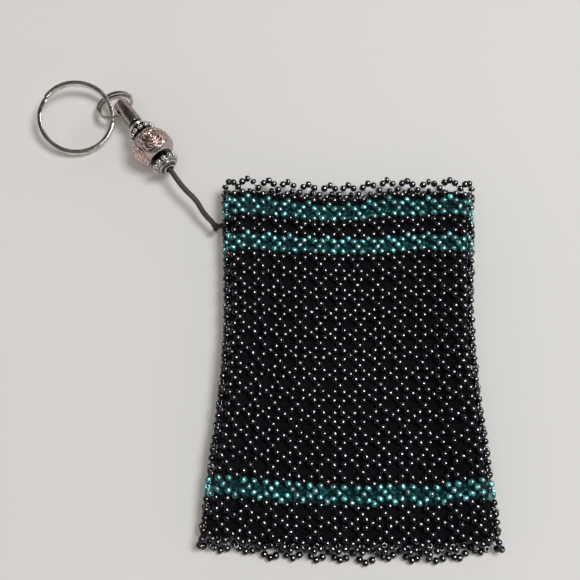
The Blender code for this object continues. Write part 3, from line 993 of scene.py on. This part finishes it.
def make_shade_lining(side):
    """A dark cloth panel that follows its layer of netting and turns up inside the folds; its black
    stands in for the shade inside the pouch.
    """
    columns, rows = 140, 200
    share = np.linspace(-1, 1, columns + 1)[None, :]
    height = np.linspace(0, 1, rows + 1)[:, None] + 0 * share
    y = LINING_BOTTOM + (LINING_TOP - LINING_BOTTOM) * height
    lift = smoothstep((y - SEAM_Y) / SEAM_TAPER)
    gap = SEAM_LAYER_GAP + (LAYER_GAP - SEAM_LAYER_GAP) * lift
    flat = np.interp(y, EDGE_Y, EDGE_X) - BEAD_RADIUS - gap / 2
    bend = gap / 2 - LINING_DEPTH
    half_sheet = flat + bend * LINING_TURN
    reach = np.abs(share) * half_sheet
    turn = np.clip((reach - flat) / bend, 0, LINING_TURN)
    x = np.sign(share) * (np.minimum(reach, flat) + bend * np.sin(turn))
    inward = np.clip(flat - reach, 0, None)
    level = (bend + wave_field(6, LINING_CREASE)(x, y)) * np.cos(turn)
    way = 1 if side == "front" else -1
    z = BEAD_RADIUS + gap / 2 + way * level - (front_sag(inward, lift) if way > 0 else 0)
    # The top and bottom edges follow the wandering rows.
    y = y + wander(x, y) * (height ** 2 + 0.7 * (1 - height) ** 2)
    place = np.stack([x, y, z], axis=-1)
    up = np.stack([way * np.sign(share) * np.sin(turn), 0 * y, np.cos(turn)], axis=-1)
    faces = [place + up * (LINING_THICKNESS / 2), place - up * (LINING_THICKNESS / 2)]
    count = columns + 1
    points = np.concatenate([face.reshape(-1, 3) for face in faces])
    corner = (np.arange(rows)[:, None] * count + np.arange(columns)[None]).ravel()
    top = np.stack([corner, corner + 1, corner + count + 1, corner + count], axis=1)
    below = len(points) // 2
    numbers = np.arange(below).reshape(rows + 1, count)
    border = np.concatenate([numbers[0, :-1], numbers[:-1, -1], numbers[-1, :0:-1],
                             numbers[:0:-1, 0]])
    after = np.roll(border, -1)
    rim = np.stack([border, border + below, after + below, after], axis=1)
    quads = np.concatenate([top, top[:, ::-1] + below, rim])
    mesh = mesh_from_arrays(f"{side}_shade_lining_cloth", points, quads)
    # Where the cloth lies behind a teal band, it gets painted teal light and glints.
    painted_teal_light = np.zeros_like(y)
    netting_y = y - wander(x, y)
    for _, first, last, teal, _, _ in BANDS:
        if teal:
            top, low = row_height(first), row_height(last)
            inside = np.minimum(top - netting_y, netting_y - low)
            painted_teal_light = np.maximum(painted_teal_light, smoothstep((inside - PAINTED_TEAL_INSET) / PAINTED_TEAL_EDGE + 0.5))
    store_values(mesh, "painted_teal_light", np.tile(painted_teal_light.ravel(), 2))
    lining = add_object(f"{side}_shade_lining_cloth", mesh, SHADE_CLOTH)
    fasten(lining, side)
    assign(lining, f"{side}_lining")


SHADE_CLOTH = shade_cloth_look()
make_netting()
make_seam()
make_shade_lining("front")
make_shade_lining("back")


# ---- charm ----
# Each rose: its angle round the ball, its place along the axis, and how far it is turned.
ROSES = ((-7, 0.0, 0.4), (86, 0.10, 1.9), (-128, 0.0, 3.0), (170, 0.1, 1.2))
ROSE_RADIUS = 4.2  # all of these are in millimetres
ROSE_STRETCH = 1.22
# Each ring of petals: its radius, how many petals it has, and how far it is turned.
PETALS = ((0.55, 2, 0.0), (1.15, 3, 0.9), (1.95, 4, 0.3), (2.75, 5, 1.1), (3.4, 5, 0.2),
          (4.0, 6, 0.8))
LEAVES = ((-52, 0.20, 1.2), (38, -0.42, 2.2), (128, -0.2, 1.0), (-95, 0.3, -0.6))
LEAF_HALF_LENGTH = 2.1
LEAF_HALF_WIDTH = 1.05
UPPER_RECESS = 2.9  # from the pole to the edge of the hollow round the bore, painted dark as shade
LOWER_RECESS = 4.5
RECESS_DEPTH = 0.95


def make_ball():
    """A hollow ball with roses and leaves in relief, and a deep bore at each pole, painted dark round
    it as shade.
    """
    rings, steps = 240, 150
    start = math.asin(BALL_BORE / BALL_RADIUS)
    polar = start + (math.pi - 2 * start) * np.arange(steps + 1) / steps
    turn = 2 * math.pi * np.arange(rings) / rings
    grid_polar, grid_turn = np.meshgrid(polar, turn)
    # Directions with Z along the charm's axis, X up and Y across.
    direction = np.stack([np.sin(grid_polar) * np.cos(grid_turn),
                          np.sin(grid_polar) * np.sin(grid_turn), np.cos(grid_polar)], axis=-1)
    relief = np.full(direction.shape[:2], 0.62)
    rose = np.zeros_like(relief)
    petal = np.zeros_like(relief)        # how pink it is: most at a rose's heart
    leaf = np.zeros_like(relief)
    height = np.zeros_like(relief)

    def disc(angle, along):
        """Distance in millimetres and bearing from a centre on the ball."""
        a = math.radians(angle)
        flat = math.sqrt(1 - along ** 2)
        centre = np.array((flat * math.cos(a), flat * math.sin(a), along))
        side = np.cross((0.0, 0.0, 1.0), centre)
        side /= np.linalg.norm(side)
        ahead = np.cross(centre, side)
        dot = np.clip(direction @ centre, -1, 1)
        far = np.arccos(dot) * BALL_RADIUS / MM
        return far, np.arctan2(direction @ ahead, direction @ side)

    for angle, along, spin in ROSES:
        far, bearing = disc(angle, along)
        far = far / ROSE_STRETCH
        inside = smoothstep((ROSE_RADIUS - far) / 0.5)
        ridge = np.zeros_like(far)
        bowl = np.zeros_like(far)
        for size, petals, offset in PETALS:
            lobe = np.abs(np.cos(petals / 2 * (bearing + spin + offset)))
            edge = size * (0.80 + 0.26 * lobe)
            past = far - edge
            width = np.where(past > 0, 0.10, 0.24)
            ridge = np.maximum(ridge, np.exp(-(past / width) ** 2) * (0.35 + 0.65 * lobe))
            bowl += np.exp(-((past + 0.35) / 0.22) ** 2) * 0.25
        rose = np.maximum(rose, inside)
        petal = np.maximum(petal, inside * (1 - 0.5 * smoothstep((far - 1.6) / 2.2)))
        dome = 0.10 * np.clip(1 - (far / 4.3) ** 2, 0, 1)
        height += inside * (ridge * 0.36 - bowl * 0.22) + dome
        # Painted highlight on the petals' ridges, and painted shade in the bowls between them.
        relief = np.where(inside > 0.3, np.clip(0.36 + 0.75 * ridge - 0.40 * bowl, 0, 1), relief)

    for angle, along, swing in LEAVES:
        far, bearing = disc(angle, along)
        u = far * np.cos(bearing - swing)
        v = far * np.sin(bearing - swing)
        blade = np.clip(1 - (u / LEAF_HALF_LENGTH) ** 2, 0, None) * LEAF_HALF_WIDTH
        inside = smoothstep((blade - np.abs(v)) / 0.22) * (rose < 0.5)
        ribs = 0.5 + 0.5 * np.cos((u * 1.0 + np.abs(v) * 1.2) * 9.0)
        leaf = np.maximum(leaf, inside)
        height += inside * (0.10 + 0.07 * ribs - 0.10 * np.exp(-(v / 0.12) ** 2))
        # The leaf's ribs are painted lighter: painted highlight.
        relief = np.where(inside > 0.4, 0.25 + 0.6 * ribs, relief)

    # Outlines of the roses and leaves are sunk, and painted dark as shade.
    edge_mark = np.exp(-((np.maximum(rose, leaf) - 0.35) / 0.22) ** 2)
    relief = relief - 0.45 * edge_mark
    height -= 0.07 * edge_mark
    from_pole = np.minimum(polar, math.pi - polar)[None] * BALL_RADIUS / MM
    edge = np.where(polar < math.pi / 2, LOWER_RECESS, UPPER_RECESS) + 0 * relief
    # The recess round each bore is painted near black in the material: painted shade.
    shaded_recess = smoothstep((edge - from_pole) / 0.35)
    hollow = smoothstep((edge - 0.1 - from_pole) / 1.1)
    height = height * (1 - shaded_recess) - RECESS_DEPTH * hollow
    reach = BALL_RADIUS + height * MM * 0.8 - 0.00012
    outer = direction * reach[..., None]
    # The bore's wall joins the two poles inside.
    inner_height = np.linspace(outer[0, -1, 2], outer[0, 0, 2], 8)[1:-1]
    radius = np.full(len(inner_height), np.linalg.norm(outer[0, 0, :2]))
    inner = np.stack([np.outer(np.cos(turn), radius), np.outer(np.sin(turn), radius),
                      np.outer(np.ones(rings), inner_height)], axis=-1)
    points = np.concatenate([outer, inner], axis=1)
    section = points.shape[1]
    quads = ring_quads(rings, section, close_rings=True)
    place = frame_at(BALL_CENTRE, AXIS, (0, 0, 1))
    mesh = mesh_from_arrays("rose_ball_shell", moved(points.reshape(-1, 3), place), quads)
    pad = np.zeros((rings, len(inner_height)))
    for name, values, fill in (("relief", relief, 0.0), ("petal", petal, 0.0),
                               ("leaf", leaf, 0.0), ("shaded_recess", shaded_recess, 1.0)):
        store_values(mesh, name, np.concatenate([values, pad + fill], axis=1).ravel())
    ball = add_object("rose_ball_shell", mesh, ROSE)
    assign(ball, "rose_ball", "ball")


def ball_points(radius, rows, segments):
    """A small sphere as points and quads, with a pinhole down its middle."""
    polar = np.radians(np.linspace(4, 176, rows))
    return turned(np.stack([radius * np.sin(polar), -radius * np.cos(polar)], axis=1), segments)


def join_parts(parts):
    """Several (points, quads, values) as one."""
    points, quads, values, first = [], [], [], 0
    for part_points, part_quads, part_values in parts:
        points.append(part_points)
        quads.append(part_quads + first)
        values.append(np.broadcast_to(part_values, len(part_points)))
        first += len(part_points)
    return np.concatenate(points), np.concatenate(quads), np.concatenate(values)


def make_spacer(name, node, at, towards_ball, lean):
    """A turned drum with a crown of granules next to the ball, two rims and a hub.

    The crown leans out over the ball by the distance lean.
    """
    half = SPACER_THICKNESS / 2
    crown = -half + GRANULE / 2 - lean
    drum = [
        (SPACER_BORE, half * 0.98, 0.0), (SPACER_BORE, -half * 0.94, 0.0),
        (SPACER_BORE + 0.0003, -half, 0.2), (SPACER_RADIUS - 0.0007, -half, 0.2),
        (SPACER_RADIUS - 0.0003, -half + 0.0003, 0.0),
        (SPACER_RADIUS - 0.0003, -half + GRANULE / 2, 0.0),
        (SPACER_RADIUS - 0.0003, -half + GRANULE, 0.0), (SPACER_RIM + 0.0003, -half + GRANULE, 0.0),
    ]
    # Two turned rims with a groove between them, then a hub round the bore.
    for centre, radius, swell in ((0.52, SPACER_RIM + 0.00040, 0.00028),
                                  (0.78, SPACER_RIM - 0.00015, 0.00026)):
        low = -half + GRANULE + (SPACER_THICKNESS - GRANULE) * (centre - 0.5) * 1.6
        for degrees in range(-80, 81, 20):
            a = math.radians(degrees)
            drum.append((radius - swell + swell * math.cos(a) * 1.3, low + swell * math.sin(a) * 1.2,
                         0.25 + 0.75 * math.cos(a)))
    drum += [(SPACER_BORE + 0.00065, half * 0.86, 0.1), (SPACER_BORE + 0.00060, half * 0.97, 0.9),
             (SPACER_BORE + 0.00025, half, 0.9)]
    points, quads = turned([(r, h) for r, h, _ in drum], 96)
    relief = np.tile([v for _, _, v in drum], 96)
    parts = [(points, quads, relief)]
    bead, bead_quads = ball_points(GRANULE / 2, 14, 20)
    size = np.linalg.norm(bead, axis=1)
    for i in range(GRANULES):
        angle = 2 * math.pi * i / GRANULES
        grow = 1 + random.normal(0, 0.02)
        spot = np.array((SPACER_RADIUS * math.cos(angle), SPACER_RADIUS * math.sin(angle), crown))
        outward = (bead @ (spot * (1, 1, 0))) / (size * SPACER_RADIUS)
        parts.append((bead * grow * 0.98 + spot, bead_quads, np.clip(0.62 + 0.55 * outward, 0, 1)))
    points, quads, relief = join_parts(parts)
    place = frame_at(on_axis(at), AXIS * towards_ball)
    mesh = mesh_from_arrays(name, moved(points, place), quads)
    store_values(mesh, "relief", relief)
    spacer = add_object(name, mesh, SPACER_SILVER)
    assign(spacer, node, node)


def make_tube():
    """The tube bead above the ball, with worn rounded ends and its drilled cross hole."""
    half = TUBE_LENGTH / 2
    lip = 0.00022
    profile = [(TUBE_NECK, half - 0.0002), (TUBE_NECK, half - TUBE_NECK_LENGTH),
               (TUBE_BORE, half - TUBE_NECK_LENGTH - lip), (TUBE_BORE, -half + lip)]
    middle, wall = (TUBE_RADIUS + TUBE_BORE) / 2, TUBE_RADIUS - TUBE_BORE
    profile += arc(middle, -half + lip, -wall / 2, -lip, 0, 180, 7)
    profile += [(TUBE_RADIUS, 0.0), (TUBE_RADIUS, half - lip)]
    profile += arc(TUBE_RADIUS - lip, half - lip, lip, lip, 30, 90, 3)
    points, quads = turned(profile, 72)
    place = frame_at(on_axis(TUBE_END_AT - half), AXIS)
    mesh = mesh_from_arrays("drilled_tube", moved(points, place), quads)
    tube = add_object("drilled_tube", mesh, TUBE_SILVER)
    cutter_bm = bmesh.new()
    bmesh.ops.create_cone(cutter_bm, cap_ends=True, segments=48, radius1=CROSS_HOLE_RADIUS,
                          radius2=CROSS_HOLE_RADIUS, depth=4 * TUBE_RADIUS)
    cutter_bm.transform(frame_at(on_axis(CROSS_HOLE_AT), ACROSS, AXIS))
    cutter = add_object("cross_hole_cutter", mesh_from_bmesh("cross_hole_cutter", cutter_bm),
                        TUBE_SILVER)
    cut = tube.modifiers.new("cross_hole", "BOOLEAN")
    cut.operation = "DIFFERENCE"
    cut.object = cutter
    apply_modifiers(tube)
    bpy.data.objects.remove(cutter)
    tube.data.shade_smooth()
    tube.data.set_sharp_from_angle(angle=math.radians(35))
    assign(tube, "end_tube", "charm")


def apply_modifiers(obj):
    graph = bpy.context.evaluated_depsgraph_get()
    made = bpy.data.meshes.new_from_object(obj.evaluated_get(graph))
    obj.modifiers.clear()
    obj.data = made


def double_turn(section, radius, step, segments, spread=0.0):
    """A ring of two turns of wire: one below, a short climb over the wire's start, and one above.

    The upper turn is wider than the lower one by the distance spread.
    """
    climb_from, climb_to, end = 330, 358, 688
    count = round(segments * end / 360)
    degrees = end * np.arange(count + 1) / count
    climb = smoothstep((degrees - climb_from) / (climb_to - climb_from)) - 0.5
    angle = np.radians(degrees)[:, None]
    out = radius + spread * climb[:, None] + np.array([s[0] for s in section])[None]
    up = step * climb[:, None] + np.array([s[1] for s in section])[None]
    points = np.stack([out * np.cos(angle), out * np.sin(angle), up], axis=-1)
    return points.reshape(-1, 3), ring_quads(count + 1, len(section))


def make_small_ring():
    far = Vector((-math.cos(CHARM_ANGLE) * math.cos(SMALL_RING_TILT),
                  -math.sin(CHARM_ANGLE) * math.cos(SMALL_RING_TILT),
                  -math.sin(SMALL_RING_TILT)))
    reach = math.sqrt(SMALL_RING_RADIUS ** 2 - SMALL_RING_OFFSET ** 2)
    pivot = on_axis(CROSS_HOLE_AT)
    centre = pivot + far * (reach - SMALL_RING_BOW) + ACROSS * SMALL_RING_OFFSET
    sides = 14
    section = arc(0, 0, SMALL_WIRE / 2, SMALL_WIRE / 2, 0, 360, sides + 1)[:-1]
    points, quads = double_turn(section, SMALL_RING_RADIUS, SMALL_WIRE + TURN_GAP, 110,
                                SMALL_RING_SPREAD)
    # The wire's two ends are hidden in the tube's cross hole.
    place = frame_at(centre, ACROSS.cross(far), far) @ Matrix.Rotation(math.radians(196), 4, "Z")
    ring = add_tube("small_double_ring", SMALL_RING_STEEL, moved(points, place), quads, sides)
    assign(ring, "small_ring", "small_ring")


def split_ring_place():
    """Tilted, with its lowest edge just on the table."""
    tilt = SPLIT_RING_TILT
    up_x, up_y = math.cos(SPLIT_RING_UPHILL), math.sin(SPLIT_RING_UPHILL)
    normal = Vector((-up_x * math.sin(tilt), -up_y * math.sin(tilt), math.cos(tilt)))
    outer = SPLIT_RING_RADIUS + SPLIT_WIRE_WIDTH / 2
    lowest = outer * math.sin(tilt) + (SPLIT_WIRE_HEIGHT + TURN_GAP / 2) * math.cos(tilt)
    centre = Vector((*SPLIT_RING_XY, lowest + 0.00005))
    return frame_at(centre, normal, (-1, 0, 0))


def make_split_ring():
    """Two flat turns of spring wire with rounded corners."""
    out, up = SPLIT_WIRE_WIDTH / 2, SPLIT_WIRE_HEIGHT / 2
    corner = 0.00036
    section = []
    for start, sx, sy in ((0, 1, 1), (90, -1, 1), (180, -1, -1), (270, 1, -1)):
        section += arc(sx * (out - corner), sy * (up - corner), corner, corner, start,
                       start + 90, 5)
    points, quads = double_turn(section, SPLIT_RING_RADIUS, SPLIT_WIRE_HEIGHT + TURN_GAP, 180)
    ring = add_tube("split_key_ring", STEEL, moved(points, split_ring_place()), quads,
                    len(section))
    assign(ring, "split_ring", "split_ring")


make_ball()
make_spacer("upper_granule_spacer", "upper_spacer", UPPER_SPACER_AT, -1, 0.0008)
make_spacer("lower_granule_spacer", "lower_spacer", LOWER_SPACER_AT, 1, -0.0004)
make_tube()
make_small_ring()
make_split_ring()
